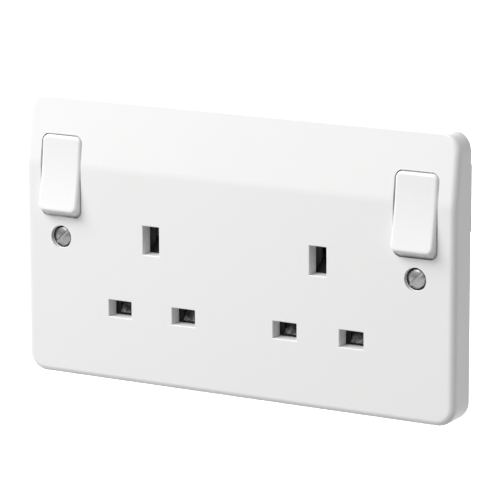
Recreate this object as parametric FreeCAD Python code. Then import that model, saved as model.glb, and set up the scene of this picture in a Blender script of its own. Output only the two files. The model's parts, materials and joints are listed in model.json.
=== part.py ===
import FreeCAD, Part
import math
import os

# Twin wall socket with two rocker switches, in millimetres.
# +X is right, +Y goes into the wall, +Z is up.
# Y = 0 is the wall plane, and the origin is the middle of the plate on it.

# Front plate
PLATE_W = 146.0
PLATE_H = 86.0
PLATE_DEPTH = 10.0
PLATE_CORNER_R = 6.0
PLATE_EDGE_R = 2.0
PLATE_TOP_EDGE_R = 0.7
FRONT_WALL = 2.6
SIDE_WALL = 2.4
# The upper part of the face leans back above this height
CREASE_Z = 22.5
CREASE_R = 14.0
LEAN_DEG = 8.5
RIB_W = 1.6
GUSSET_GAP = 2.0

# Pin apertures of the two outlets
OUTLET_PITCH = 56.9
EARTH_Z = 1.95
PIN_DROP = 22.23
PIN_PITCH = 22.23
EARTH_SLOT_W = 5.7
EARTH_SLOT_H = 8.9
POLE_SLOT_W = 8.0
POLE_SLOT_H = 5.3
SLOT_MOUTH = 0.15
SLOT_DEPTH = 4.3
COLLAR_WALL = 1.4

# Fixing screws
FIX_PITCH = 120.6
FIX_R = 1.75
FIX_NECK = 0.35
FIX_NECK_END = 1.0
FIX_HEAD_R = 3.35
FIX_CONE_H = 1.5
FIX_DOME_H = 1.0
FIX_SINK = 1.1
FIX_REACH = 16.0
FIX_HEAD_CLEAR = 0.2
FIX_HOLE_CLEAR = 0.25
FIX_PILLAR_WALL = 1.05
FIX_SLOT_W = 0.9
FIX_SLOT_DEPTH = 0.8
FIX_SLOT_TURN = 45.0

# Rockers
ROCKER_INSET = 12.85
PIVOT_Z = 18.65
PIVOT_SINK = 5.5
WELL_W = 14.4
WELL_HALF_H = 12.45
WELL_CORNER_R = 2.4
END_DRAFT_DEG = 18.2
ROCKER_GAP = 0.32
ROCKER_END_GAP = 0.58
ROCKER_RISE = 6.75
ROCKER_DISH = 0.6
ROCKER_EDGE_R = 1.0
ROCKER_WALL = 1.6
ROCKER_BACK = 1.5
ROCKER_OFF_DEG = 9.0
STUB_R = 1.6
STUB_GRIP = 1.3
STUB_CLEAR = 0.06
EAR_R = 2.6
CHEEK_WALL = 1.6
CHEEK_HALF_H = 4.6
CHEEK_BEHIND = 3.0
POCKET_END_GAP = 0.3
POCKET_RIM_GAP = 0.3
STEM_HALF_W = 3.1
STEM_HALF_H = 3.0
STEM_REACH = 8.5
PLUNGER_W = 3.0
PLUNGER_CLEAR = 0.1
PLUNGER_REACH = 13.0
PLUNGER_GRIP = 2.6
BORE_FRONT = 3.0
SPRING_WIRE = 0.36
SPRING_RUNS = 8
ROCKER_SPRING_TURNS = 5
SPRING_CLEAR = 0.2

# Rear housing
HOUSING_BACK = 17.5
HOUSING_RIM = 3.0
HOUSING_WALL = 1.6
HOUSING_FLOOR = 1.8
HOUSING_CORNER_R = 3.0
HOUSING_BACK_BEVEL = 0.8
HOUSING_FIX_GAP = 1.5
WING_SIDE = 0.3
WING_BELOW = 0.85
WING_ABOVE = 2.95
TOP_SCREW_X = 34.0
LOW_SCREW_INSET = 5.4
SCREW_INSET_Z = 7.0
HOUSING_SCREW_R = 1.3
HOUSING_SCREW_CLEAR = 0.05
HOUSING_SCREW_END_GAP = 0.4
HOUSING_HOLE_CLEAR = 0.25
HOUSING_HEAD_R = 2.6
HOUSING_HEAD_H = 1.5
HOUSING_HEAD_CLEAR = 0.3
HOUSING_SLOT_W = 0.8
HOUSING_SLOT_DEPTH = 0.8
HOUSING_SLOT_TURN = 20.0
COLUMN_W = 6.4
BOSS_W = 5.4
BOSS_BITE = 3.4
REST_W = 3.0
FEED_REST_X = 30.0
TRUNK_REST_Z = -8.0

# Conductors
STRIP_T = 1.0
STRIP_W = 4.0
EARTH_STRIP_W = 5.0
STRIP_BEND_R = 1.2
STRIP_END = 3.6
STRIP_PAD = 2.6
CLIP_T = 0.7
CLIP_BEND_R = 0.7
CLIP_MOUTH = 3.3
CLIP_PINCH = 2.2
CLIP_HEEL = 2.7
CLIP_PINCH_BEHIND = 2.4
POLE_CLIP_W = 6.4
POLE_CLIP_GAP = 0.6
EARTH_CLIP_W = 7.4
EARTH_CLIP_GAP = 0.9
FEED_DROP = 2.9
FEED_TURN = 0.5
LINK_INSET = 4.5
LINK_DROP = 6.65
LEFT_RUN_DROP = 10.2
NEUTRAL_DROP = 9.0

# Terminals
TERMINAL_PITCH = 10.0
TERMINAL_W = 8.0
TERMINAL_H = 10.0
TERMINAL_DEPTH = 9.7
WIRE_W = 5.0
WIRE_FRONT_WALL = 1.0
WIRE_ENTRY_MARGIN = 0.7
CLAMP_R = 1.95
CLAMP_CLEAR = 0.05
CLAMP_END_GAP = 0.1
CLAMP_LIFT = 0.2
CLAMP_HEAD_R = 2.6
CLAMP_HEAD_H = 2.3
CLAMP_SLOT_W = 0.9
CLAMP_SLOT_DEPTH = 0.9
CLAMP_SLOT_TURN = 50.0
CLAMP_ACCESS_CLEAR = 0.35

# Switch blades
BLADE_T = 1.0
BLADE_HALF_L = 8.8
BLADE_W = 4.0
BLADE_CORNER_R = 1.0
BLADE_SWING_DEG = 20.0
RIDGE_R = 0.5
RIDGE_CLEAR = 0.05
RIDGE_BITE = 0.3
BLADE_MEETS = 0.15
BUTTON_R = 1.4
BUTTON_H = 0.5
BUTTON_GAP = 0.1

# Shutters
SHUTTER_T = 3.0
SHUTTER_FRONT_GAP = 0.25
SHUTTER_TRAVEL = 5.8
SHUTTER_COVER = 0.65
SHUTTER_CORNER_R = 0.8
SHUTTER_STEM_CLEAR = 0.3
SHUTTER_STEM_ROOT = 2.0
WEDGE_BEHIND = 1.8
WEDGE_TOP = 0.8
WEDGE_FOOT = 1.4
RAMP_W = 5.0
RAMP_DEPTH = 1.5
RAMP_BELOW = 2.0
RAMP_RISE = 2.6
RAMP_ABOVE = 2.0
GUIDE_GAP = 0.35
GUIDE_T = 1.2
GUIDE_CORNER_R = 1.5
GUIDE_RAIL = 1.0
GUIDE_RAIL_GAP = 0.3
GUIDE_RAIL_OVER = 4.0
GUIDE_TOP_OVER = 2.9
GUIDE_END_GAP = 0.3
GUIDE_SLOT_MARGIN = 0.4
GUIDE_STEM_MARGIN = 0.6
POST_INSET = 2.615
POST_TOP_DROP = 3.0
POST_LOW_DROP = 1.67
POST_W = 3.0
PEG_W = 1.8
PEG_CLEAR = 0.05
PEG_OVER = 0.7
SHUTTER_SPRING_R = 1.3
SHUTTER_SPRING_TURNS = 6
SHUTTER_SPRING_CLEAR = 0.3
SPRING_POCKET_DEPTH = 4.25
SPRING_STOP_T = 1.4
SPRING_STOP_GAP = 1.3
SPRING_STOP_SIDE = 0.8

# Cuts run past the surface that they open by this much, and what stands on a wall is rooted in it as deep
OVER = 1.0
# A turn by this angle about the line x = y = z takes X to Y, Y to Z and Z to X
AXES_TURN_DEG = 120
# Points closer than this are taken as one
NEAR = 1e-4

# Places that follow from the sizes above
FACE_Y = -PLATE_DEPTH
INNER_Y = FACE_Y + FRONT_WALL
COLLAR_Y = FACE_Y + SLOT_DEPTH
OUTLET_X = OUTLET_PITCH / 2
POLE_Z = EARTH_Z - PIN_DROP
POLE_DX = PIN_PITCH / 2
FIX_X = FIX_PITCH / 2
FIX_SEAT_Y = FACE_Y + FIX_SINK
FIX_NECK_R = FIX_R - FIX_NECK
FIX_HOLE_R = FIX_R + FIX_HOLE_CLEAR
FIX_RECESS_R = FIX_HEAD_R + FIX_HEAD_CLEAR
FIX_PILLAR_R = FIX_RECESS_R + FIX_PILLAR_WALL
ROCKER_X = PLATE_W / 2 - ROCKER_INSET
PIVOT_Y = FACE_Y + PIVOT_SINK
END_SLOPE = math.tan(math.radians(END_DRAFT_DEG))
ROCKER_HALF_H = WELL_HALF_H - ROCKER_END_GAP - (ROCKER_RISE - PIVOT_SINK) * END_SLOPE
ROCKER_HALF_W = WELL_W / 2 - ROCKER_GAP
BORE_W = PLUNGER_W + 2 * PLUNGER_CLEAR
SHUTTER_Y = COLLAR_Y + SHUTTER_FRONT_GAP
SHUTTER_BACK_Y = SHUTTER_Y + SHUTTER_T
GUIDE_Y = SHUTTER_BACK_Y + GUIDE_GAP
GUIDE_BACK_Y = GUIDE_Y + GUIDE_T
WEDGE_Y = GUIDE_BACK_Y + WEDGE_BEHIND
BLADE_TOP_Z = POLE_Z + POLE_SLOT_H / 2 + SHUTTER_COVER
BLADE_LOW_Z = POLE_Z - POLE_SLOT_H / 2 - SHUTTER_COVER
SHUTTER_HALF_W = POLE_DX + POLE_SLOT_W / 2
SHUTTER_STEM_W = EARTH_SLOT_W - 2 * SHUTTER_STEM_CLEAR
SPRING_STOP_Z = BLADE_LOW_Z - SHUTTER_TRAVEL - SPRING_STOP_GAP
SPRING_TOP_Z = BLADE_LOW_Z + SPRING_POCKET_DEPTH
SPRING_POCKET_HALF_W = SHUTTER_SPRING_R + SHUTTER_SPRING_CLEAR
SPRING_MID_Y = (SHUTTER_Y + SHUTTER_BACK_Y) / 2
WEDGE_TOE_Z = EARTH_Z - EARTH_SLOT_H / 2
WEDGE_FOOT_Z = WEDGE_TOE_Z - WEDGE_FOOT
GUIDE_HALF_W = SHUTTER_HALF_W + GUIDE_RAIL_GAP + GUIDE_RAIL
GUIDE_TOP = EARTH_Z + EARTH_SLOT_H / 2 + GUIDE_TOP_OVER
POST_X = GUIDE_HALF_W - POST_INSET
POST_TOP_Z = GUIDE_TOP - POST_TOP_DROP
POST_LOW_Z = BLADE_LOW_Z - SHUTTER_TRAVEL - POST_LOW_DROP
GUIDE_BOTTOM = POST_LOW_Z - POST_W / 2
HOUSING_W = 2 * (FIX_X - FIX_PILLAR_R - HOUSING_FIX_GAP)
HOUSING_H = 2 * (HOUSING_WALL + GUIDE_END_GAP - GUIDE_BOTTOM)
HOUSING_TOP = HOUSING_H / 2 - HOUSING_WALL
FLOOR_Y = HOUSING_BACK - HOUSING_FLOOR
WING_X = ROCKER_X + STEM_HALF_W + WING_SIDE + HOUSING_WALL
WING_LOW = PIVOT_Z - BLADE_HALF_L - WING_BELOW - HOUSING_WALL
WING_HIGH = PIVOT_Z + BLADE_HALF_L + WING_ABOVE + HOUSING_WALL
LOW_SCREW_X = HOUSING_W / 2 - LOW_SCREW_INSET
SCREW_Z = HOUSING_H / 2 - SCREW_INSET_Z
STRIP_Y = FLOOR_Y - STRIP_T
CLIP_Y = STRIP_Y - CLIP_T
TERMINAL_X = [TERMINAL_PITCH * (i - 1.5) for i in range(4)]
TERMINAL_FRONT = FLOOR_Y - TERMINAL_DEPTH
TERMINAL_LOW = HOUSING_TOP - TERMINAL_H
TERMINAL_MID = HOUSING_TOP - TERMINAL_H / 2
CLAMP_HEAD_Y = FLOOR_Y + CLAMP_LIFT
WIRE_Y0 = TERMINAL_FRONT + WIRE_FRONT_WALL
WIRE_Y1 = WIRE_Y0 + WIRE_W
BLADE_FRONT_Y = PIVOT_Y + PLUNGER_REACH + BLADE_MEETS
RIDGE_Y = BLADE_FRONT_Y + BLADE_T + RIDGE_R + RIDGE_CLEAR - RIDGE_BITE
BLADE_TILT = math.radians(BLADE_SWING_DEG / 2)
BLADE_BACK = BLADE_FRONT_Y + BLADE_T - RIDGE_Y
BUTTON_Z = BLADE_HALF_L - BUTTON_R
BUTTON_LOW_Y = RIDGE_Y + (BLADE_BACK + BUTTON_H) * math.cos(BLADE_TILT)
BUTTON_MEETS_Y = BUTTON_LOW_Y + BLADE_HALF_L * math.sin(BLADE_TILT) + BUTTON_GAP
FEED_Y = BUTTON_MEETS_Y + BUTTON_H
FEED_Z = TERMINAL_LOW - FEED_DROP
FEED_END_Z = PIVOT_Z + BUTTON_Z
LINK_X = HOUSING_W / 2 - LINK_INSET
LINK_Z = PIVOT_Z - LINK_DROP


def vec(x, y, z):
    return FreeCAD.Vector(x, y, z)


def box(x0, x1, y0, y1, z0, z1):
    return Part.makeBox(x1 - x0, y1 - y0, z1 - z0, vec(x0, y0, z0))


def rod_y(r, x, z, y0, y1):
    return Part.makeCylinder(r, y1 - y0, vec(x, y0, z), vec(0, 1, 0))


def rod_x(r, y, z, x0, x1):
    return Part.makeCylinder(r, x1 - x0, vec(x0, y, z), vec(1, 0, 0))


def lies_along(edge, axis):
    a = edge.Vertexes[0].Point
    b = edge.Vertexes[-1].Point
    run = b.sub(a)
    return run.Length > NEAR and abs(run.dot(axis)) > run.Length * (1 - NEAR)


def middle(edge):
    return edge.valueAt((edge.FirstParameter + edge.LastParameter) / 2)


def block(x, z, w, h, y0, y1, r):
    """A bar along Y with a rounded rectangular section centred on x, z."""
    body = box(x - w / 2, x + w / 2, y0, y1, z - h / 2, z + h / 2)
    edges = [e for e in body.Edges if lies_along(e, vec(0, 1, 0))]
    return body.makeFillet(r, edges)


def plain_bar(x, z, w, h, y0, y1):
    """A bar along Y with a rectangular section centred on x, z."""
    return box(x - w / 2, x + w / 2, y0, y1, z - h / 2, z + h / 2)


def merge(shapes):
    whole = shapes[0].multiFuse(shapes[1:])
    return whole.removeSplitter()


def ribbon(path, width, bend_r):
    """The closed outline of a band of even width along a path of 2-D points, its bends rounded."""
    n = len(path)
    pts = [FreeCAD.Vector(p[0], p[1], 0) for p in path]
    runs = [pts[i + 1].sub(pts[i]).normalize() for i in range(n - 1)]
    sides = []
    for side in (width / 2, -width / 2):
        line = []
        normals = [FreeCAD.Vector(-d.y, d.x, 0) * side for d in runs]
        start = pts[0].add(normals[0])
        for i in range(1, n - 1):
            turn = runs[i - 1].x * runs[i].y - runs[i - 1].y * runs[i].x
            angle = math.asin(max(-1.0, min(1.0, abs(turn))))
            if runs[i - 1].dot(runs[i]) < 0:
                angle = math.pi - angle
            reach = (bend_r + width / 2) * math.tan(angle / 2)
            a = pts[i].sub(runs[i - 1] * reach)
            b = pts[i].add(runs[i] * reach)
            inward = FreeCAD.Vector(-runs[i - 1].y, runs[i - 1].x, 0)
            if turn < 0:
                inward = inward * -1
            centre = a.add(inward * (bend_r + width / 2))
            p = a.add(normals[i - 1])
            q = b.add(normals[i])
            r = p.sub(centre).Length
            m = centre.add(pts[i].sub(centre).normalize() * r)
            line.append(Part.LineSegment(start, p).toShape())
            line.append(Part.Arc(p, m, q).toShape())
            start = q
        end = pts[-1].add(normals[-1])
        line.append(Part.LineSegment(start, end).toShape())
        sides.append((line, pts[0].add(normals[0]), end))
    caps = [
        Part.LineSegment(sides[0][2], sides[1][2]).toShape(),
        Part.LineSegment(sides[0][1], sides[1][1]).toShape(),
    ]
    edges = Part.__sortEdges__(sides[0][0] + sides[1][0] + caps)
    return Part.Face(Part.Wire(edges))


def flat_strip(path, width, bend_r, y0, thickness):
    """A strip cut from sheet lying square to Y, along a path of x, z points."""
    face = ribbon(path, width, bend_r)
    solid = face.extrude(vec(0, 0, -thickness))
    solid.rotate(vec(0, 0, 0), vec(1, 0, 0), 90)
    solid.translate(vec(0, y0, 0))
    return solid


def folded_strip(path, thickness, bend_r, x, width):
    """A strip bent in the YZ plane along a path of y, z points, centred on x."""
    solid = ribbon(path, thickness, bend_r).extrude(vec(0, 0, width))
    solid.rotate(vec(0, 0, 0), vec(1, 1, 1), AXES_TURN_DEG)
    solid.translate(vec(x - width / 2, 0, 0))
    return solid


def coil(radius, length, turns, wire):
    """A compression spring along Z from the origin, of square wire in short straight runs."""
    mean = radius - wire / 2
    half = wire / 2
    steps = turns * SPRING_RUNS
    sections = []
    for i in range(steps + 1):
        angle = 2 * math.pi * i / SPRING_RUNS
        out = vec(math.cos(angle), math.sin(angle), 0)
        centre = out * mean + vec(0, 0, half + (length - wire) * i / steps)
        corners = []
        for side, up in ((-half, -half), (half, -half), (half, half), (-half, half), (-half, -half)):
            corners.append(centre + out * side + vec(0, 0, up))
        sections.append(Part.makePolygon(corners))
    return Part.makeLoft(sections, True, True)


def front_region(back_by, far):
    """Everything behind the face of the plate, moved back by a wall."""
    lean = math.radians(LEAN_DEG)
    reach = CREASE_R * math.tan(lean / 2)
    z0 = CREASE_Z - reach
    y0 = FACE_Y + back_by

    def on_bend(angle):
        return vec(0, y0 + CREASE_R * (1 - math.cos(angle)), z0 + CREASE_R * math.sin(angle))

    end = on_bend(lean)
    top = vec(0, end.y + (far - end.z) * math.tan(lean), far)
    edges = [
        Part.LineSegment(vec(0, far, -far), vec(0, y0, -far)).toShape(),
        Part.LineSegment(vec(0, y0, -far), vec(0, y0, z0)).toShape(),
        Part.Arc(vec(0, y0, z0), on_bend(lean / 2), end).toShape(),
        Part.LineSegment(end, top).toShape(),
        Part.LineSegment(top, vec(0, far, far)).toShape(),
        Part.LineSegment(vec(0, far, far), vec(0, far, -far)).toShape(),
    ]
    face = Part.Face(Part.Wire(edges))
    face.translate(vec(-far, 0, 0))
    return face.extrude(vec(2 * far, 0, 0))


def apertures(x, grow):
    """Centre and size of the three pin openings of the outlet at x."""
    return [
        (x, EARTH_Z, EARTH_SLOT_W + grow, EARTH_SLOT_H + grow),
        (x - POLE_DX, POLE_Z, POLE_SLOT_W + grow, POLE_SLOT_H + grow),
        (x + POLE_DX, POLE_Z, POLE_SLOT_W + grow, POLE_SLOT_H + grow),
    ]


def guide_posts(x):
    return [(x + sx * POST_X, z) for sx in (-1, 1) for z in (POST_TOP_Z, POST_LOW_Z)]


def housing_screw_places():
    return [(s * x, z) for s in (-1, 1) for x, z in ((TOP_SCREW_X, SCREW_Z), (LOW_SCREW_X, -SCREW_Z))]


def drafted(half_w, half_h, face_y, y0, y1):
    """A block about the pivot line, with ends that spread towards the back from half_h at face_y."""

    def reach(y):
        return half_h + (y - face_y) * END_SLOPE

    corners = [
        vec(-half_w, y0, -reach(y0)),
        vec(-half_w, y1, -reach(y1)),
        vec(-half_w, y1, reach(y1)),
        vec(-half_w, y0, reach(y0)),
        vec(-half_w, y0, -reach(y0)),
    ]
    return Part.Face(Part.makePolygon(corners)).extrude(vec(2 * half_w, 0, 0))


def round_corners(body, r):
    """Round the four edges of a drafted block that run from front to back."""
    edges = []
    for e in body.Edges:
        run = e.Vertexes[0].Point.sub(e.Vertexes[-1].Point)
        if abs(run.y) > NEAR and abs(run.x) < NEAR:
            edges.append(e)
    return body.makeFillet(r, edges)


def fixing_cone(x):
    """The countersink of a fixing screw, from its seat in the recess back to its neck."""
    return Part.makeCone(FIX_HEAD_R, FIX_NECK_R, FIX_CONE_H, vec(x, FIX_SEAT_Y, 0), vec(0, 1, 0))


def round_rim(body):
    """Round the rim of the face, the radius falling round the upper corners to that of the top edge."""
    cx = PLATE_W / 2 - PLATE_CORNER_R
    cz = PLATE_H / 2 - PLATE_CORNER_R

    def radius(point):
        return PLATE_TOP_EDGE_R if abs(point.z - PLATE_H / 2) < NEAR else PLATE_EDGE_R

    rim = []
    for number, e in enumerate(body.Edges, 1):
        m = middle(e)
        if abs(m.y) < NEAR or lies_along(e, vec(0, 1, 0)):
            continue
        on_side = abs(abs(m.x) - PLATE_W / 2) < NEAR or abs(abs(m.z) - PLATE_H / 2) < NEAR
        corner = math.hypot(max(abs(m.x) - cx, 0), max(abs(m.z) - cz, 0))
        if on_side or abs(corner - PLATE_CORNER_R) < NEAR:
            ends = [e.valueAt(t) for t in (e.FirstParameter, e.LastParameter)]
            rim.append((number, radius(ends[0]), radius(ends[1])))
    sheet = FreeCAD.newDocument("rim")
    blank = sheet.addObject("Part::Feature", "blank")
    blank.Shape = body
    rounded = sheet.addObject("Part::Fillet", "rounded")
    rounded.Base = blank
    rounded.Edges = rim
    sheet.recompute()
    return rounded.Shape.copy()


def rocker_pocket(x):
    """The walls behind the plate that close a rocker's well on all four sides."""
    y0 = INNER_Y - OVER
    y1 = -HOUSING_RIM - POCKET_RIM_GAP
    tip = ROCKER_HALF_H + (ROCKER_RISE - ROCKER_BACK) * END_SLOPE
    inner_h = 2 * (math.hypot(tip, ROCKER_BACK) + POCKET_END_GAP)
    outer = plain_bar(x, PIVOT_Z, WELL_W + 2 * CHEEK_WALL, inner_h + 2 * CHEEK_WALL, y0, y1)
    return outer.cut(plain_bar(x, PIVOT_Z, WELL_W, inner_h, y0 - OVER, y1 + OVER))


def make_front_plate():
    far = PLATE_W
    outer = block(0, 0, PLATE_W, PLATE_H, FACE_Y - OVER, 0, PLATE_CORNER_R)
    outer = round_rim(outer.common(front_region(0, far)).removeSplitter())
    inner_w = PLATE_W - 2 * SIDE_WALL
    inner_h = PLATE_H - 2 * SIDE_WALL
    hollow = block(0, 0, inner_w, inner_h, FACE_Y, OVER, PLATE_CORNER_R - SIDE_WALL)
    shell = outer.cut(hollow.common(front_region(FRONT_WALL, far)))
    root_y = INNER_Y - OVER
    added = []
    removed = []
    for s in (-1, 1):
        x = s * OUTLET_X
        for hole_x, hole_z, w, h in apertures(x, 0):
            added.append(
                plain_bar(hole_x, hole_z, w + 2 * COLLAR_WALL, h + 2 * COLLAR_WALL, root_y, COLLAR_Y)
            )
            removed.append(plain_bar(hole_x, hole_z, w, h, FACE_Y - OVER, COLLAR_Y + OVER))
        for px, pz in guide_posts(x):
            added.append(plain_bar(px, pz, POST_W, POST_W, root_y, GUIDE_Y))
            added.append(plain_bar(px, pz, PEG_W, PEG_W, root_y, GUIDE_BACK_Y + PEG_OVER))
        fx = s * FIX_X
        added.append(rod_y(FIX_PILLAR_R, fx, 0, root_y, 0))
        removed.append(rod_y(FIX_RECESS_R, fx, 0, FACE_Y - OVER, FIX_SEAT_Y))
        removed.append(rod_y(FIX_HOLE_R, fx, 0, FACE_Y - OVER, OVER))
        removed.append(fixing_cone(fx))
        gusset_x = sorted((s * (FIX_X + FIX_HOLE_R + OVER), s * (PLATE_W / 2 - SIDE_WALL / 2)))
        added.append(box(gusset_x[0], gusset_x[1], root_y, -GUSSET_GAP, -RIB_W / 2, RIB_W / 2))
        rx = s * ROCKER_X
        added.append(rocker_pocket(rx))
        for t in (-1, 1):
            near = rx + t * WELL_W / 2
            cheek_x = sorted((near, near + t * CHEEK_WALL))
            added.append(
                box(
                    cheek_x[0], cheek_x[1], root_y, PIVOT_Y + CHEEK_BEHIND,
                    PIVOT_Z - CHEEK_HALF_H, PIVOT_Z + CHEEK_HALF_H,
                )
            )
        bearing = WELL_W / 2 + CHEEK_WALL + OVER
        removed.append(rod_x(STUB_R + STUB_CLEAR, PIVOT_Y, PIVOT_Z, rx - bearing, rx + bearing))
        well = drafted(WELL_W / 2, WELL_HALF_H, -PIVOT_SINK, -PIVOT_SINK - OVER, -ROCKER_BACK)
        well = round_corners(well, WELL_CORNER_R)
        well.translate(vec(rx, PIVOT_Y, PIVOT_Z))
        removed.append(well)
    for bx, bz in housing_screw_places():
        added.append(plain_bar(bx, bz, BOSS_W, BOSS_W, root_y, -HOUSING_RIM))
        removed.append(
            rod_y(HOUSING_SCREW_R + HOUSING_SCREW_CLEAR, bx, bz, -HOUSING_RIM - BOSS_BITE, 0)
        )
    rib_top = PLATE_H / 2 - SIDE_WALL / 2
    added.append(box(-RIB_W / 2, RIB_W / 2, root_y, COLLAR_Y, -rib_top, rib_top))
    added = [a.common(front_region(FRONT_WALL / 2, far)) for a in added]
    plate = merge([shell] + added).cut(removed[0].multiFuse(removed[1:])).removeSplitter()
    mouths = []
    for s in (-1, 1):
        for hole_x, hole_z, w, h in apertures(s * OUTLET_X, 0):
            for e in plate.Edges:
                m = middle(e)
                if abs(m.y - FACE_Y) > NEAR:
                    continue
                if abs(m.x - hole_x) <= w / 2 + NEAR and abs(m.z - hole_z) <= h / 2 + NEAR:
                    mouths.append(e)
    return plate.makeChamfer(SLOT_MOUTH, mouths)


def make_rocker():
    """A rocker about its own pivot line, face towards -Y, before it is tipped to off."""
    front_y = -ROCKER_RISE
    cap = drafted(ROCKER_HALF_W, ROCKER_HALF_H, front_y, front_y - OVER, -ROCKER_BACK)
    cap = round_corners(cap, WELL_CORNER_R - ROCKER_GAP)
    dish_r = (ROCKER_HALF_H ** 2 + ROCKER_DISH ** 2) / (2 * ROCKER_DISH)
    dish_y = front_y + ROCKER_DISH - dish_r
    cap = cap.cut(rod_x(dish_r, dish_y, 0, -WELL_W, WELL_W))
    rim = []
    for e in cap.Edges:
        on_dish = [math.hypot(p.y - dish_y, p.z) for p in (middle(e), e.Vertexes[0].Point)]
        if max(abs(r - dish_r) for r in on_dish) < NEAR:
            rim.append(e)
    cap = cap.makeFillet(ROCKER_EDGE_R, rim)
    inner_w = ROCKER_HALF_W - ROCKER_WALL
    inner_y = front_y + ROCKER_DISH + ROCKER_WALL
    cap = cap.cut(drafted(inner_w, ROCKER_HALF_H - ROCKER_WALL, front_y, inner_y, 0))
    pieces = [cap]
    pieces.append(
        box(-STEM_HALF_W, STEM_HALF_W, inner_y - OVER, STEM_REACH, -STEM_HALF_H, STEM_HALF_H)
    )
    for s in (-1, 1):
        ear_x = sorted((s * inner_w, s * ROCKER_HALF_W))
        pieces.append(rod_x(EAR_R, 0, 0, ear_x[0], ear_x[1]))
        pieces.append(box(ear_x[0], ear_x[1], -ROCKER_BACK - OVER, 0, -EAR_R, EAR_R))
        stub_x = sorted((s * inner_w, s * (WELL_W / 2 + STUB_GRIP)))
        pieces.append(rod_x(STUB_R, 0, 0, stub_x[0], stub_x[1]))
    whole = merge(pieces)
    bore = plain_bar(0, 0, BORE_W, BORE_W, -BORE_FRONT, STEM_REACH + OVER)
    return whole.cut(bore).removeSplitter()


def make_plunger():
    """A square plunger in the rocker's stem, with a nose rounded about the blade's rocking line."""
    nose_y = PLUNGER_REACH - PLUNGER_W / 2
    bar = plain_bar(0, 0, PLUNGER_W, PLUNGER_W, STEM_REACH - PLUNGER_GRIP, nose_y)
    nose = rod_x(PLUNGER_W / 2, nose_y, 0, -PLUNGER_W / 2, PLUNGER_W / 2)
    return merge([bar, nose])


def make_rocker_spring():
    length = STEM_REACH - PLUNGER_GRIP + BORE_FRONT
    spring = coil(BORE_W / 2 - SPRING_CLEAR, length, ROCKER_SPRING_TURNS, SPRING_WIRE)
    spring.rotate(vec(0, 0, 0), vec(1, 0, 0), -90)
    spring.translate(vec(0, -BORE_FRONT, 0))
    return spring


def to_off(shape, x):
    """Tip a rocker piece to its off position and set it on its pivot."""
    moved = shape.copy()
    moved.rotate(vec(0, 0, 0), vec(1, 0, 0), -ROCKER_OFF_DEG)
    moved.translate(vec(x, PIVOT_Y, PIVOT_Z))
    return moved


def make_fixing_screws():
    top_y = FIX_SEAT_Y - FIX_DOME_H
    ball_r = (FIX_HEAD_R ** 2 + FIX_DOME_H ** 2) / (2 * FIX_DOME_H)
    screws = []
    for s in (-1, 1):
        x = s * FIX_X
        ball = Part.makeSphere(ball_r, vec(x, top_y + ball_r, 0))
        dome = ball.common(rod_y(FIX_HEAD_R, x, 0, top_y - OVER, FIX_SEAT_Y))
        neck = rod_y(FIX_NECK_R, x, 0, FIX_SEAT_Y + FIX_CONE_H, FIX_NECK_END)
        thread = rod_y(FIX_R, x, 0, FIX_NECK_END, FIX_REACH)
        slot = box(
            x - 2 * FIX_HEAD_R, x + 2 * FIX_HEAD_R, top_y - OVER, top_y + FIX_SLOT_DEPTH,
            -FIX_SLOT_W / 2, FIX_SLOT_W / 2,
        )
        slot.rotate(vec(x, 0, 0), vec(0, 1, 0), -FIX_SLOT_TURN)
        screws.append(merge([fixing_cone(x), dome, neck, thread]).cut(slot))
    return Part.makeCompound(screws)


def housing_outline(inset, y0, y1):
    """The stepped outline of the rear housing: a main bay and a bay behind each rocker."""
    r = HOUSING_CORNER_R - inset
    main = block(0, 0, HOUSING_W - 2 * inset, HOUSING_H - 2 * inset, y0, y1, r)
    wing_mid = (WING_LOW + WING_HIGH) / 2
    wing_h = WING_HIGH - WING_LOW - 2 * inset
    wings = block(0, wing_mid, 2 * (WING_X - inset), wing_h, y0, y1, r)
    return merge([main, wings])


def make_rear_housing():
    body = housing_outline(0, -HOUSING_RIM, HOUSING_BACK)
    back = [e for e in body.Edges if abs(middle(e).y - HOUSING_BACK) < NEAR]
    body = body.makeChamfer(HOUSING_BACK_BEVEL, back)
    body = body.cut(housing_outline(HOUSING_WALL, -HOUSING_RIM - OVER, FLOOR_Y))
    added = []
    removed = []
    end_y = HOUSING_BACK + OVER
    for x, z in housing_screw_places():
        added.append(plain_bar(x, z, COLUMN_W, COLUMN_W, -HOUSING_RIM, FLOOR_Y))
        removed.append(rod_y(HOUSING_SCREW_R + HOUSING_HOLE_CLEAR, x, z, -HOUSING_RIM - OVER, end_y))
        removed.append(rod_y(HOUSING_HEAD_R + HOUSING_HEAD_CLEAR, x, z, FLOOR_Y, end_y))
    feed_back = FEED_Y + STRIP_T
    for s in (-1, 1):
        added.append(plain_bar(s * FEED_REST_X, FEED_Z, REST_W, STRIP_W, feed_back, FLOOR_Y))
        added.append(plain_bar(s * ROCKER_X, FEED_END_Z, STRIP_W, STRIP_W, feed_back, FLOOR_Y))
    trunk_back = TERMINAL_FRONT + STRIP_T
    added.append(plain_bar(TERMINAL_X[2], TRUNK_REST_Z, REST_W, REST_W, trunk_back, FLOOR_Y))
    wire_half = WIRE_W / 2 + WIRE_ENTRY_MARGIN
    for x in TERMINAL_X:
        removed.append(
            box(
                x - wire_half, x + wire_half, WIRE_Y0 - WIRE_ENTRY_MARGIN,
                WIRE_Y1 + WIRE_ENTRY_MARGIN, HOUSING_TOP, HOUSING_TOP + HOUSING_WALL + OVER,
            )
        )
        removed.append(rod_y(CLAMP_HEAD_R + CLAMP_ACCESS_CLEAR, x, TERMINAL_MID, FLOOR_Y, end_y))
    body = merge([body] + added)
    return body.cut(removed[0].multiFuse(removed[1:])).removeSplitter()


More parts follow.
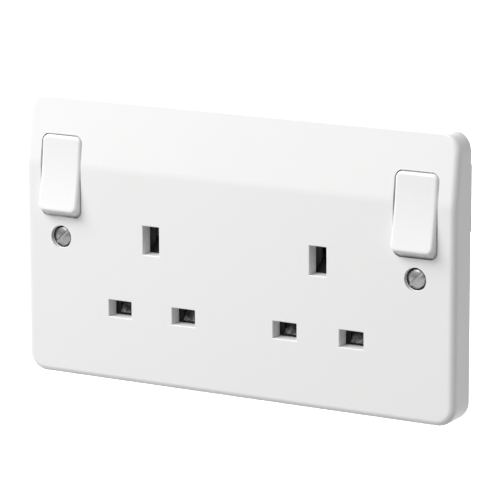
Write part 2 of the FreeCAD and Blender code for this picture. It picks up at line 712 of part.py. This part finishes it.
def slotted(screw, r, x, z, end_y, width, depth, turn):
    """Cut a driver slot into the flat end of a screw head."""
    slot = box(x - r - OVER, x + r + OVER, end_y - depth, end_y + OVER, z - width / 2, z + width / 2)
    slot.rotate(vec(x, 0, z), vec(0, 1, 0), turn)
    return screw.cut(slot)


def make_housing_screws():
    screws = []
    end_y = FLOOR_Y + HOUSING_HEAD_H
    tip_y = HOUSING_SCREW_END_GAP - HOUSING_RIM - BOSS_BITE
    for x, z in housing_screw_places():
        shank = rod_y(HOUSING_SCREW_R, x, z, tip_y, FLOOR_Y)
        head = rod_y(HOUSING_HEAD_R, x, z, FLOOR_Y, end_y)
        screw = merge([shank, head])
        screws.append(
            slotted(
                screw, HOUSING_HEAD_R, x, z, end_y, HOUSING_SLOT_W, HOUSING_SLOT_DEPTH,
                HOUSING_SLOT_TURN,
            )
        )
    return Part.makeCompound(screws)


def make_terminal(x):
    half = TERMINAL_W / 2
    wire = WIRE_W / 2
    body = box(x - half, x + half, TERMINAL_FRONT, FLOOR_Y, TERMINAL_LOW, HOUSING_TOP)
    way = box(x - wire, x + wire, WIRE_Y0, WIRE_Y1, TERMINAL_LOW - OVER, HOUSING_TOP + OVER)
    thread = rod_y(CLAMP_R + CLAMP_CLEAR, x, TERMINAL_MID, WIRE_Y1 - OVER, FLOOR_Y + OVER)
    return body.cut(way.fuse(thread))


def make_terminal_screws():
    screws = []
    end_y = CLAMP_HEAD_Y + CLAMP_HEAD_H
    for i, x in enumerate(TERMINAL_X):
        shank = rod_y(CLAMP_R, x, TERMINAL_MID, WIRE_Y1 + CLAMP_END_GAP, CLAMP_HEAD_Y)
        head = rod_y(CLAMP_HEAD_R, x, TERMINAL_MID, CLAMP_HEAD_Y, end_y)
        screw = merge([shank, head])
        screws.append(
            slotted(
                screw, CLAMP_HEAD_R, x, TERMINAL_MID, end_y, CLAMP_SLOT_W, CLAMP_SLOT_DEPTH,
                CLAMP_SLOT_TURN * (i + 1),
            )
        )
    return Part.makeCompound(screws)


def clip_outline(first):
    """Path of a sprung contact from one flared lip round its base to the other, as y and side."""
    half = [
        (first, CLIP_MOUTH),
        (first + CLIP_PINCH_BEHIND, CLIP_PINCH),
        (CLIP_Y + CLIP_T / 2, CLIP_HEEL),
    ]
    return half + [(y, -side) for y, side in reversed(half)]


def pole_clip(x):
    path = [(y, POLE_Z + side) for y, side in clip_outline(GUIDE_BACK_Y + POLE_CLIP_GAP)]
    return folded_strip(path, CLIP_T, CLIP_BEND_R, x, POLE_CLIP_W)


def earth_clip(x):
    path = clip_outline(WEDGE_Y + EARTH_CLIP_GAP)
    clip = folded_strip(path, CLIP_T, CLIP_BEND_R, 0, EARTH_CLIP_W)
    clip.rotate(vec(0, 0, 0), vec(0, 1, 0), 90)
    clip.translate(vec(x, 0, EARTH_Z))
    return clip


def make_live_feed():
    x0 = TERMINAL_X[1]
    out = ROCKER_X + STRIP_W / 2
    turn = LINK_X + FEED_TURN
    path = [
        (-out, FEED_END_Z), (-turn, FEED_END_Z), (-turn, FEED_Z),
        (turn, FEED_Z), (turn, FEED_END_Z), (out, FEED_END_Z),
    ]
    bar = flat_strip(path, STRIP_W, STRIP_BEND_R, FEED_Y, STRIP_T)
    half = STRIP_W / 2
    tab = box(x0 - half, x0 + half, FEED_Y, FEED_Y + STRIP_T, FEED_Z, TERMINAL_LOW)
    buttons = [
        rod_y(BUTTON_R, s * ROCKER_X, FEED_END_Z, BUTTON_MEETS_Y, FEED_Y + STRIP_T / 2)
        for s in (-1, 1)
    ]
    return merge([bar, tab] + buttons)


def make_switched_strip(side):
    """From the rocking blade's ridge to the live contact of the outlet on that side."""
    x = side * ROCKER_X
    live_x = side * OUTLET_X + POLE_DX
    link_x = side * LINK_X
    if side > 0:
        tail = [(link_x, POLE_Z), (live_x - STRIP_END, POLE_Z)]
    else:
        run_z = EARTH_Z - LEFT_RUN_DROP
        tail = [(link_x, run_z), (live_x, run_z), (live_x, POLE_Z - STRIP_PAD)]
    path = [(x, PIVOT_Z + RIDGE_R), (x, LINK_Z), (link_x, LINK_Z)] + tail
    strip = flat_strip(path, STRIP_W, STRIP_BEND_R, STRIP_Y, STRIP_T)
    half = STRIP_W / 2
    tab = box(x - half, x + half, RIDGE_Y, FLOOR_Y, PIVOT_Z - RIDGE_R, PIVOT_Z + RIDGE_R)
    ridge = rod_x(RIDGE_R, RIDGE_Y, PIVOT_Z, x - half, x + half)
    return merge([strip, tab, ridge])


def make_neutral_strip():
    left_x = -OUTLET_X - POLE_DX
    right_x = OUTLET_X - POLE_DX
    low_z = POLE_Z - NEUTRAL_DROP
    top_z = POLE_Z + STRIP_PAD
    path = [(left_x, top_z), (left_x, low_z), (right_x, low_z), (right_x, top_z)]
    bar = flat_strip(path, STRIP_W, STRIP_BEND_R, STRIP_Y, STRIP_T)
    x = TERMINAL_X[2]
    mid_y = TERMINAL_FRONT + STRIP_T / 2
    trunk = folded_strip(
        [(mid_y, TERMINAL_LOW), (mid_y, low_z), (FLOOR_Y, low_z)], STRIP_T, STRIP_BEND_R, x, STRIP_W
    )
    return merge([bar, trunk])


def make_earth_strip():
    reach = OUTLET_X + STRIP_END
    bar = flat_strip([(-reach, EARTH_Z), (reach, EARTH_Z)], EARTH_STRIP_W, STRIP_BEND_R, STRIP_Y, STRIP_T)
    half = STRIP_W / 2
    pieces = [bar]
    for x in (TERMINAL_X[0], TERMINAL_X[3]):
        pieces.append(box(x - half, x + half, STRIP_Y, FLOOR_Y, EARTH_Z, TERMINAL_LOW))
    return merge(pieces)


def make_blade(x):
    """A rocking contact about its ridge, tipped to off."""
    front = BLADE_FRONT_Y - RIDGE_Y
    bar = box(-BLADE_W / 2, BLADE_W / 2, front, front + BLADE_T, -BLADE_HALF_L, BLADE_HALF_L)
    ends = [e for e in bar.Edges if lies_along(e, vec(0, 1, 0))]
    bar = bar.makeFillet(BLADE_CORNER_R, ends)
    button = rod_y(BUTTON_R, 0, BUTTON_Z, front + BLADE_T / 2, front + BLADE_T + BUTTON_H)
    groove = rod_x(RIDGE_R + RIDGE_CLEAR, 0, 0, -BLADE_W, BLADE_W)
    blade = merge([bar, button]).cut(groove)
    blade.rotate(vec(0, 0, 0), vec(1, 0, 0), BLADE_SWING_DEG / 2)
    blade.translate(vec(x, RIDGE_Y, PIVOT_Z))
    return blade


def ramp_recess(x):
    """The hollow in the shutter behind a pole opening, its floor ramping back from below."""
    y0 = SHUTTER_Y
    y1 = SHUTTER_Y + RAMP_DEPTH
    start = x - RAMP_W / 2
    side = [
        vec(start, y0, POLE_Z - RAMP_BELOW),
        vec(start, y1, POLE_Z - RAMP_BELOW + RAMP_RISE),
        vec(start, y1, POLE_Z + RAMP_ABOVE),
        vec(start, y0, POLE_Z + RAMP_ABOVE),
        vec(start, y0, POLE_Z - RAMP_BELOW),
    ]
    return Part.Face(Part.makePolygon(side)).extrude(vec(RAMP_W, 0, 0))


def make_shutter(x):
    """A sliding shutter: a blade behind both poles, and a wedge behind the earth opening."""
    y0 = SHUTTER_Y
    y1 = SHUTTER_BACK_Y
    blade_mid = (BLADE_TOP_Z + BLADE_LOW_Z) / 2
    blade_h = BLADE_TOP_Z - BLADE_LOW_Z
    blade = block(x, blade_mid, 2 * SHUTTER_HALF_W, blade_h, y0, y1, SHUTTER_CORNER_R)
    half = SHUTTER_STEM_W / 2
    peak_z = WEDGE_TOE_Z + SHUTTER_TRAVEL
    stem = box(x - half, x + half, y0, y1, BLADE_TOP_Z - SHUTTER_STEM_ROOT, WEDGE_FOOT_Z)
    side = [
        vec(x - half, y0, WEDGE_FOOT_Z),
        vec(x - half, y0, WEDGE_TOE_Z),
        vec(x - half, WEDGE_Y - WEDGE_TOP, peak_z),
        vec(x - half, WEDGE_Y, peak_z),
        vec(x - half, WEDGE_Y, WEDGE_FOOT_Z),
        vec(x - half, y0, WEDGE_FOOT_Z),
    ]
    wedge = Part.Face(Part.makePolygon(side)).extrude(vec(SHUTTER_STEM_W, 0, 0))
    body = merge([blade, stem, wedge])
    pocket_half = SPRING_POCKET_HALF_W
    pocket = box(
        x - pocket_half, x + pocket_half, y0 - OVER, y1 + OVER, BLADE_LOW_Z - OVER, SPRING_TOP_Z
    )
    return body.cut([pocket, ramp_recess(x - POLE_DX), ramp_recess(x + POLE_DX)])


def make_shutter_spring(x):
    length = SPRING_TOP_Z - SPRING_STOP_Z
    spring = coil(SHUTTER_SPRING_R, length, SHUTTER_SPRING_TURNS, SPRING_WIRE)
    spring.translate(vec(x, SPRING_MID_Y, SPRING_STOP_Z))
    return spring


def make_shutter_guide(x):
    y0 = GUIDE_Y
    y1 = GUIDE_BACK_Y
    mid_z = (GUIDE_TOP + GUIDE_BOTTOM) / 2
    high = GUIDE_TOP - GUIDE_BOTTOM
    pieces = [block(x, mid_z, 2 * GUIDE_HALF_W, high, y0, y1, GUIDE_CORNER_R)]
    rail_low = BLADE_LOW_Z - SHUTTER_TRAVEL
    rail_top = BLADE_TOP_Z + GUIDE_RAIL_OVER
    for s in (-1, 1):
        rail_x = sorted((x + s * (GUIDE_HALF_W - GUIDE_RAIL), x + s * GUIDE_HALF_W))
        pieces.append(box(rail_x[0], rail_x[1], SHUTTER_Y, y1, rail_low, rail_top))
    stop_w = SPRING_POCKET_HALF_W + SPRING_STOP_SIDE
    pieces.append(
        box(x - stop_w, x + stop_w, SHUTTER_Y, y1, SPRING_STOP_Z - SPRING_STOP_T, SPRING_STOP_Z)
    )
    guide = merge(pieces)
    margin = GUIDE_SLOT_MARGIN
    cuts = []
    for cx, cz, w, h in apertures(x, 2 * margin)[1:]:
        cuts.append(plain_bar(cx, cz, w, h, y0 - OVER, y1 + OVER))
    slot_w = SHUTTER_STEM_W + 2 * GUIDE_STEM_MARGIN
    slot_top = EARTH_Z + EARTH_SLOT_H / 2 + margin
    slot_low = WEDGE_FOOT_Z - SHUTTER_TRAVEL - margin
    slot_mid = (slot_top + slot_low) / 2
    cuts.append(plain_bar(x, slot_mid, slot_w, slot_top - slot_low, y0 - OVER, y1 + OVER))
    hole_w = PEG_W + 2 * PEG_CLEAR
    for px, pz in guide_posts(x):
        cuts.append(plain_bar(px, pz, hole_w, hole_w, y0 - OVER, y1 + OVER))
    return guide.cut(cuts[0].multiFuse(cuts[1:])).removeSplitter()


def save(shape, node):
    shape.exportStep("parts/" + node + ".step")


os.makedirs("parts", exist_ok=True)

save(make_front_plate(), "front_plate")
save(make_rear_housing(), "rear_housing")
save(make_housing_screws(), "housing_screws")
save(make_fixing_screws(), "fixing_screws")

rocker = make_rocker()
plunger = make_plunger()
rocker_spring = make_rocker_spring()
for name, side in (("left", -1), ("right", 1)):
    rocker_x = side * ROCKER_X
    outlet_x = side * OUTLET_X
    save(to_off(rocker, rocker_x), name + "_rocker")
    save(to_off(plunger, rocker_x), name + "_plunger")
    save(to_off(rocker_spring, rocker_x), name + "_rocker_spring")
    save(make_blade(rocker_x), name + "_switch_blade")
    save(make_switched_strip(side), name + "_switched_strip")
    save(pole_clip(outlet_x + POLE_DX), name + "_live_clip")
    save(pole_clip(outlet_x - POLE_DX), name + "_neutral_clip")
    save(earth_clip(outlet_x), name + "_earth_clip")
    save(make_shutter(outlet_x), name + "_shutter")
    save(make_shutter_spring(outlet_x), name + "_shutter_spring")
    save(make_shutter_guide(outlet_x), name + "_shutter_guide")

save(make_live_feed(), "live_feed_strip")
save(make_neutral_strip(), "neutral_strip")
save(make_earth_strip(), "earth_strip")
save(make_terminal(TERMINAL_X[0]), "left_earth_terminal")
save(make_terminal(TERMINAL_X[1]), "live_terminal")
save(make_terminal(TERMINAL_X[2]), "neutral_terminal")
save(make_terminal(TERMINAL_X[3]), "right_earth_terminal")
save(make_terminal_screws(), "terminal_screws")
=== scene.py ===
import json
import math

import bmesh
import bpy
from mathutils import Matrix, Vector

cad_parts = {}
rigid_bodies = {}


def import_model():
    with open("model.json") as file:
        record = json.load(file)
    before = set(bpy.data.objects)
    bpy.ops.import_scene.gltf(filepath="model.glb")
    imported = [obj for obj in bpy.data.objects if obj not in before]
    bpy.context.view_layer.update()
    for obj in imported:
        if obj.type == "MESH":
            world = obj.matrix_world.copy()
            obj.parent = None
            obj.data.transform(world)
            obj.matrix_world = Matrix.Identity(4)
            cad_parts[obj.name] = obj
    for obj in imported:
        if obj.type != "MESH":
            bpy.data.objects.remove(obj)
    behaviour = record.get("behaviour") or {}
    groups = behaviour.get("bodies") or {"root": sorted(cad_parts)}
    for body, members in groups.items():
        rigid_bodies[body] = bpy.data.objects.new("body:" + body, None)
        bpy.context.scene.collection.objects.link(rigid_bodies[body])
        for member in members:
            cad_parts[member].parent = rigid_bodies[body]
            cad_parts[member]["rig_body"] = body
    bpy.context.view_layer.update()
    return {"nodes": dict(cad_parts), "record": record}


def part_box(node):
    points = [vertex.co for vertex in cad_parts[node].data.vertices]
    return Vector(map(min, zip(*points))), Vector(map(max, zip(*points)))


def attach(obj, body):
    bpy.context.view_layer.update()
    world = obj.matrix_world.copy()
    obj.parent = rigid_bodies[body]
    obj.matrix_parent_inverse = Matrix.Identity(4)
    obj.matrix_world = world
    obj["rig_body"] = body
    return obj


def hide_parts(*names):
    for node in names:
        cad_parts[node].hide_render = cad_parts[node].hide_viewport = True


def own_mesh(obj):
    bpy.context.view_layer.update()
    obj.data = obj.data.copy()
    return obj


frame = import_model()
scene = bpy.context.scene
nodes_of = frame["nodes"]
record = frame["record"]
MM_PER_M = 1000

# Camera, placed in metres
CAMERA_AT = Vector((0.49055, -0.86094, 0.22119))
LOOKS_AT = Vector((0.00293, -0.0050, 0.00166))
ROLL_DEG = -0.244
LENS_MM = 245.14
SENSOR_MM = 36.0
CLIP_START = 0.05

# Floor and world: BOUNCE and LIGHT fall on the part, the camera and reflections see the rest
FLOOR_Z = -0.19
FLOOR_SIZE = 9.0
FLOOR_ROUGH = 0.9
FLOOR_BOUNCE = 0.3
FLOOR_WHITE = 0.9
FLOOR_GLOW = 0.8
WORLD_LIGHT = 0.396
WORLD_WHITE = 1.0

# Lamps: place, width and height in metres, then watts
LAMPS = {
    "key": ((-0.52, -0.67, 0.88), 1.1, 0.6, 16.96),
    "back": ((-0.45, 1.25, 0.2), 0.5, 0.5, 8.0),
    "side": ((1.0, 0.6, 0.1), 0.4, 0.4, 0.63),
}

# Noise runs mostly between these values, and has more or less fine detail
NOISE_SPAN = (0.3, 0.7)
PLASTIC_DETAIL = 2.0
PATCH_DETAIL = 3.0
STREAK_DETAIL = 4.0

# Moulded plastic: size of its mottling and of its shiny patches in millimetres, grain in metres
MOTTLE_MM = 30.0
POLISH_MM = 24.0
GRAIN_DEPTH = 0.00002

# Metal: size of its dull patches in millimetres, depth of its streaks in metres
PATCH_MM = 2.2
STREAK_DEPTH = 0.00001

# Fixing screws, in millimetres: painted shade darkens their heads towards the rim between these
# shares of the radius
studs = next(m for m in record["mounts"] if m["name"] == "fixing_screws")
SCREW_X = studs["dims"]["pcd_mm"] / 2
SCREW_R = MM_PER_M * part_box("fixing_screws")[1].z
RIM_SHADE_SHARES = (0.80, 0.90)
RIM_SHADE_RAGGED = 0.2
RIM_SHADE_PATCH_MM = 0.8

# Painted light on the shutters' ramps: it fades out upwards between these shares of a pole
# aperture's height, and stays on faces whose normal has a Z between these values, the faces that
# tilt up
pole = next(o for o in record["physics"]["openings"] if o["name"] == "left_neutral_aperture")
POLE_FOOT, POLE_TOP = (MM_PER_M * corner[2] for corner in pole["box_m"])
RAMP_LIGHT_SHARES = (0.25, 0.8)
RAMP_LIGHT_TILT_FROM = (0.3, 0.4)
RAMP_LIGHT_TILT_TO = (0.8, 0.9)
RAMP_LIGHT_PATCH_MM = 1.3
RAMP_LIGHT_SPAN = (0.35, 0.65)
RAMP_LIGHT_LEAST = 0.1

# Thread of the fixing screws, in metres, its section as shares of the pitch and of the depth
THREAD_PITCH = 0.0006
THREAD_STEPS = 28
THREAD_SECTION = ((0.0, 0.0), (0.12, 0.0), (0.44, 1.0), (0.56, 1.0), (0.88, 0.0), (1.0, 0.0))
POINT_INSET = 0.00015
POINT_TAPER = 0.9
SHARP_DEG = 35
LEVEL_DIGITS = 6
LEVEL_SLACK = 1e-5
WELD = 1e-7


class Graph:
    """A material's nodes, with short ways to add and join them."""

    # The Mix node's colour sockets share their names with others, so they go by number
    MIX_A, MIX_B, MIX_OUT = 6, 7, 2

    def __init__(self, name):
        self.mat = bpy.data.materials.new(name)
        self.mat.use_nodes = True
        self.tree = self.mat.node_tree
        self.shader = self.tree.nodes["Principled BSDF"]

    def add(self, kind, **values):
        node = self.tree.nodes.new(kind)
        for key, value in values.items():
            if hasattr(node, key):
                setattr(node, key, value)
            else:
                node.inputs[key].default_value = value
        return node

    def join(self, a, b):
        self.tree.links.new(a, b)

    def place(self, stretch=(1, 1, 1)):
        """Object coordinates in millimetres, stretched along the axes."""
        coords = self.add("ShaderNodeTexCoord")
        scale = self.add("ShaderNodeMapping")
        scale.inputs["Scale"].default_value = [MM_PER_M * s for s in stretch]
        self.join(coords.outputs["Object"], scale.inputs["Vector"])
        return scale.outputs["Vector"]

    def split(self, vector):
        """A vector's X, Y and Z."""
        node = self.add("ShaderNodeSeparateXYZ")
        self.join(vector, node.inputs["Vector"])
        return node.outputs

    def noise(self, where, size, detail=PATCH_DETAIL):
        node = self.add("ShaderNodeTexNoise", Scale=1 / size, Detail=detail)
        self.join(where, node.inputs["Vector"])
        return node.outputs["Fac"]

    def spread(self, value, span, to):
        """Maps a span of values to another, and holds the ends."""
        node = self.add("ShaderNodeMapRange")
        for name, limits in (("From", span), ("To", to)):
            node.inputs[name + " Min"].default_value = limits[0]
            node.inputs[name + " Max"].default_value = limits[1]
        self.join(value, node.inputs["Value"])
        return node.outputs["Result"]

    def reckon(self, operation, a, b=0.0):
        node = self.add("ShaderNodeMath", operation=operation)
        for value, socket in ((a, node.inputs[0]), (b, node.inputs[1])):
            if isinstance(value, float):
                socket.default_value = value
            else:
                self.join(value, socket)
        return node.outputs["Value"]

    def square(self, value):
        return self.reckon("MULTIPLY", value, value)

    def blend(self, fac, a, b):
        node = self.add("ShaderNodeMix", data_type="RGBA")
        self.join(fac, node.inputs["Factor"])
        for value, socket in ((a, node.inputs[self.MIX_A]), (b, node.inputs[self.MIX_B])):
            if isinstance(value, tuple):
                socket.default_value = (*value, 1)
            else:
                self.join(value, socket)
        return node.outputs[self.MIX_OUT]

    def tint(self, fac, color):
        """Blends a colour over the base colour that the shader has so far."""
        base = self.shader.inputs["Base Color"]
        self.join(self.blend(fac, base.links[0].from_socket, color), base)

    def bump(self, height, strength, depth):
        node = self.add("ShaderNodeBump", Strength=strength, Distance=depth)
        self.join(height, node.inputs["Height"])
        self.join(node.outputs["Normal"], self.shader.inputs["Normal"])


def shades(color, vary):
    low = tuple(min(1.0, c * (1 - vary)) for c in color)
    high = tuple(min(1.0, c * (1 + vary)) for c in color)
    return low, high


def moulding(name, color, vary, rough, grain, strength, specular=0.5):
    """Moulded plastic: faint mottling, uneven polish and a fine grain."""
    g = Graph(name)
    where = g.place()
    low, high = shades(color, vary)
    mottle = g.noise(where, MOTTLE_MM, PLASTIC_DETAIL)
    g.join(g.blend(mottle, low, high), g.shader.inputs["Base Color"])
    polish = g.noise(where, POLISH_MM, PLASTIC_DETAIL)
    g.join(g.spread(polish, NOISE_SPAN, rough), g.shader.inputs["Roughness"])
    g.bump(g.noise(where, grain, PLASTIC_DETAIL), strength, GRAIN_DEPTH)
    g.shader.inputs["Specular IOR Level"].default_value = specular
    return g


def metal(name, color, vary, rough, stretch, grain, strength):
    """Sheet or drawn metal: streaks along one axis, uneven sheen and dull patches."""
    g = Graph(name)
    streaks = g.noise(g.place(stretch), grain, STREAK_DETAIL)
    low, high = shades(color, vary)
    g.join(g.blend(g.noise(g.place(), PATCH_MM), low, high), g.shader.inputs["Base Color"])
    g.join(g.spread(streaks, NOISE_SPAN, rough), g.shader.inputs["Roughness"])
    g.shader.inputs["Metallic"].default_value = 1.0
    g.bump(streaks, strength, STREAK_DEPTH)
    return g


def head_with_painted_rim_shade(name, middle, rim_shade):
    """Plated screw heads with painted shade that darkens them towards the rim, and fine
    scratches across them.
    """
    g = metal(
        name, middle, vary=0.45, rough=(0.2, 0.3), stretch=(1, 0.3, 1), grain=0.3, strength=0.1)
    at = g.split(g.place())
    across = g.reckon("SUBTRACT", g.reckon("ABSOLUTE", at["X"]), SCREW_X)
    from_axis = g.reckon("SQRT", g.reckon("ADD", g.square(across), g.square(at["Z"])))
    uneven = g.spread(g.noise(g.place(), RIM_SHADE_PATCH_MM), NOISE_SPAN, (-RIM_SHADE_RAGGED, RIM_SHADE_RAGGED))
    ragged = g.reckon("ADD", from_axis, uneven)
    # Painted shade: a ragged dark ring round the rim of each head, where the recess would shade
    # it
    g.tint(g.spread(ragged, [SCREW_R * share for share in RIM_SHADE_SHARES], (0.0, 1.0)), rim_shade)
    return g


def shutter_with_painted_light(name, plain, painted_light):
    """Dark moulding with painted light: paler on the up-facing ramps low behind the pole
    apertures.
    """
    g = moulding(
        name, plain, vary=0.06, rough=(0.45, 0.58), grain=0.25, strength=0.15, specular=0.2)
    # Painted light: up-facing ramp faces low in the apertures turn paler, as if lit from above
    tilt = g.split(g.add("ShaderNodeTexCoord").outputs["Normal"])["Z"]
    on_ramp = g.reckon("MULTIPLY", g.spread(tilt, RAMP_LIGHT_TILT_FROM, (0.0, 1.0)),
                       g.spread(tilt, RAMP_LIGHT_TILT_TO, (1.0, 0.0)))
    heights = [POLE_FOOT + share * (POLE_TOP - POLE_FOOT) for share in RAMP_LIGHT_SHARES]
    low_down = g.spread(g.split(g.place())["Z"], heights, (1.0, 0.0))
    patchy = g.spread(g.noise(g.place(), RAMP_LIGHT_PATCH_MM), RAMP_LIGHT_SPAN, (RAMP_LIGHT_LEAST, 1.0))
    g.tint(g.reckon("MULTIPLY", g.reckon("MULTIPLY", on_ramp, low_down), patchy), painted_light)
    return g


face_white = moulding(
    "face_white", (0.865, 0.865, 0.862), vary=0.004, rough=(0.36, 0.40), grain=0.35,
    strength=0.008, specular=0.4)
rocker_white = moulding(
    "rocker_white", (0.86, 0.86, 0.859), vary=0.004, rough=(0.33, 0.37), grain=0.35,
    strength=0.008, specular=0.4)
inner_white = moulding(
    "inner_white", (0.72, 0.715, 0.69), vary=0.02, rough=(0.45, 0.58), grain=0.25, strength=0.15)
plunger_nylon = moulding(
    "plunger_nylon", (0.82, 0.80, 0.74), vary=0.02, rough=(0.35, 0.45), grain=0.3, strength=0.1)
guide_grey = moulding(
    "guide_grey", (0.16, 0.16, 0.161), vary=0.06, rough=(0.45, 0.58), grain=0.25,
    strength=0.15, specular=0.2)
shutter_grey = shutter_with_painted_light(
    "shutter_grey", plain=(0.016, 0.016, 0.017), painted_light=(0.34, 0.345, 0.36))
brass = metal(
    "brass", (0.72, 0.52, 0.21), vary=0.07, rough=(0.24, 0.42), stretch=(0.2, 1, 1), grain=0.25,
    strength=0.12)
terminal_brass = metal(
    "terminal_brass", (0.76, 0.57, 0.26), vary=0.06, rough=(0.22, 0.38), stretch=(1, 1, 0.2),
    grain=0.3, strength=0.1)
plated_steel = metal(
    "plated_steel", (0.40, 0.40, 0.395), vary=0.10, rough=(0.26, 0.44), stretch=(1, 0.3, 1),
    grain=0.3, strength=0.12)
spring_wire = metal(
    "spring_wire", (0.46, 0.46, 0.47), vary=0.06, rough=(0.22, 0.36), stretch=(1, 1, 0.3),
    grain=0.15, strength=0.1)
screw_steel = head_with_painted_rim_shade("screw_steel", middle=(0.21, 0.21, 0.208), rim_shade=(0.02, 0.02, 0.02))

# The nodes that aren't listed are brass
dress = {
    "front_plate": face_white,
    "rear_housing": inner_white,
    "fixing_screws": screw_steel,
    "housing_screws": plated_steel,
    "terminal_screws": terminal_brass,
    "live_terminal": terminal_brass,
    "neutral_terminal": terminal_brass,
    "left_earth_terminal": terminal_brass,
    "right_earth_terminal": terminal_brass,
}
for side in ("left", "right"):
    dress[side + "_rocker"] = rocker_white
    dress[side + "_shutter_guide"] = guide_grey
    dress[side + "_plunger"] = plunger_nylon
    dress[side + "_shutter"] = shutter_grey
    dress[side + "_rocker_spring"] = spring_wire
    dress[side + "_shutter_spring"] = spring_wire
for name, node in nodes_of.items():
    node.data.materials.clear()
    node.data.materials.append(dress.get(name, brass).mat)


def thread(made, x, z, start, end, root, crest):
    """Adds a right-hand thread round the axis at x, z, with a tapered flat end."""
    tip = root - POINT_INSET
    turns = math.ceil((end - start) / THREAD_PITCH) + 1
    rows = []
    for step in range(turns * THREAD_STEPS + 1):
        turn = step / THREAD_STEPS
        angle = 2 * math.pi * turn
        row = []
        for share, depth in THREAD_SECTION:
            y = min(end, max(start, start + THREAD_PITCH * (turn - 1 + share)))
            full = root + depth * (crest - root)
            r = min(full, root + y - start, tip + POINT_TAPER * (end - y))
            row.append(made.verts.new((x + r * math.sin(angle), y, z + r * math.cos(angle))))
        rows.append(row)
    for row, after in zip(rows, rows[1:]):
        for i in range(len(row) - 1):
            made.faces.new((row[i], row[i + 1], after[i + 1], after[i]))
    last = [row[-1] for row in rows[-THREAD_STEPS:]]
    middle = made.verts.new((x, end, z))
    for a, b in zip(last, last[1:] + last[:1]):
        made.faces.new((a, middle, b))
    welded = [v for row in rows for v in row]
    bmesh.ops.remove_doubles(made, verts=welded, dist=WELD)


def threaded_screws():
    """The fixing screws, with a thread in place of the plain shank behind the neck."""
    node = nodes_of["fixing_screws"]
    made = bmesh.new()
    made.from_mesh(node.data)
    levels = sorted({round(v.co.y, LEVEL_DIGITS) for v in made.verts})
    start, end = levels[-2:]
    behind = start - LEVEL_SLACK
    axis_x = SCREW_X / MM_PER_M
    reach = [math.hypot(abs(v.co.x) - axis_x, v.co.z) for v in made.verts if v.co.y > behind]
    root, crest = min(reach), max(reach)
    plain = [f for f in made.faces if all(v.co.y > behind for v in f.verts)]
    bmesh.ops.delete(made, geom=plain, context="FACES")
    for x in (-axis_x, axis_x):
        thread(made, x, 0.0, start, end, root, crest)
    mesh = bpy.data.meshes.new("threaded_screws")
    made.to_mesh(mesh)
    made.free()
    if "custom_normal" in mesh.attributes:
        mesh.attributes.remove(mesh.attributes["custom_normal"])
    mesh.shade_smooth()
    mesh.set_sharp_from_angle(angle=math.radians(SHARP_DEG))
    mesh.materials.append(screw_steel.mat)
    piece = bpy.data.objects.new("threaded_screws", mesh)
    scene.collection.objects.link(piece)
    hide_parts("fixing_screws")
    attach(piece, node["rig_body"])


def shutter_coils():
    """Copies of the shutters' springs, each on the body of its spring node."""
    for side in ("left", "right"):
        node = nodes_of[side + "_shutter_spring"]
        piece = bpy.data.objects.new(side + "_shutter_coil", node.data.copy())
        scene.collection.objects.link(piece)
        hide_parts(node.name)
        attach(piece, node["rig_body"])
        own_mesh(piece)


def seen_rays(tree, unseen, seen):
    """One value for the light that falls on things, another for the camera and reflections."""
    rays = tree.nodes.new("ShaderNodeLightPath")
    level = tree.nodes.new("ShaderNodeMapRange")
    level.inputs["To Min"].default_value = unseen
    level.inputs["To Max"].default_value = seen
    last = rays.outputs["Is Camera Ray"]
    for name in ("Is Glossy Ray", "Is Transmission Ray"):
        either = tree.nodes.new("ShaderNodeMath")
        either.operation = "MAXIMUM"
        tree.links.new(last, either.inputs[0])
        tree.links.new(rays.outputs[name], either.inputs[1])
        last = either.outputs[0]
    tree.links.new(last, level.inputs["Value"])
    return level.outputs["Result"]


def plain_floor():
    """A pale floor below the part, which is also the ground behind it."""
    bpy.ops.mesh.primitive_plane_add(size=FLOOR_SIZE, location=(0, 0, FLOOR_Z))
    floor = bpy.context.object
    floor.name = "floor"
    g = Graph("floor_white")
    g.join(seen_rays(g.tree, FLOOR_BOUNCE, FLOOR_WHITE), g.shader.inputs["Base Color"])
    g.shader.inputs["Roughness"].default_value = FLOOR_ROUGH
    g.shader.inputs["Emission Color"].default_value = (1, 1, 1, 1)
    g.join(seen_rays(g.tree, 0.0, FLOOR_GLOW), g.shader.inputs["Emission Strength"])
    floor.data.materials.append(g.mat)


def pale_world():
    """A white surround that lights the part softly."""
    world = bpy.data.worlds.new("studio")
    scene.world = world
    world.use_nodes = True
    tree = world.node_tree
    back = tree.nodes["Background"]
    back.inputs["Color"].default_value = (1, 1, 1, 1)
    tree.links.new(seen_rays(tree, WORLD_LIGHT, WORLD_WHITE), back.inputs["Strength"])


def softbox(name, at, width, height, watts):
    """A rectangular lamp that faces the middle of the part."""
    data = bpy.data.lights.new(name, "AREA")
    data.shape = "RECTANGLE"
    data.size = width
    data.size_y = height
    data.energy = watts
    lamp = bpy.data.objects.new(name, data)
    scene.collection.objects.link(lamp)
    lamp.location = at
    lamp.rotation_euler = (-Vector(at)).to_track_quat("-Z", "Y").to_euler()


def photo_camera():
    """The camera that was fitted to the photograph."""
    data = bpy.data.cameras.new("camera")
    data.lens = LENS_MM
    data.sensor_width = SENSOR_MM
    data.clip_start = CLIP_START
    camera = bpy.data.objects.new("camera", data)
    scene.collection.objects.link(camera)
    turn = (LOOKS_AT - CAMERA_AT).to_track_quat("-Z", "Y").to_matrix().to_4x4()
    roll = Matrix.Rotation(math.radians(ROLL_DEG), 4, "Z")
    camera.matrix_world = Matrix.Translation(CAMERA_AT) @ turn @ roll
    scene.camera = camera


threaded_screws()
shutter_coils()
plain_floor()
pale_world()
for name, lamp in LAMPS.items():
    softbox(name, *lamp)
photo_camera()
scene.view_settings.view_transform = "Standard"
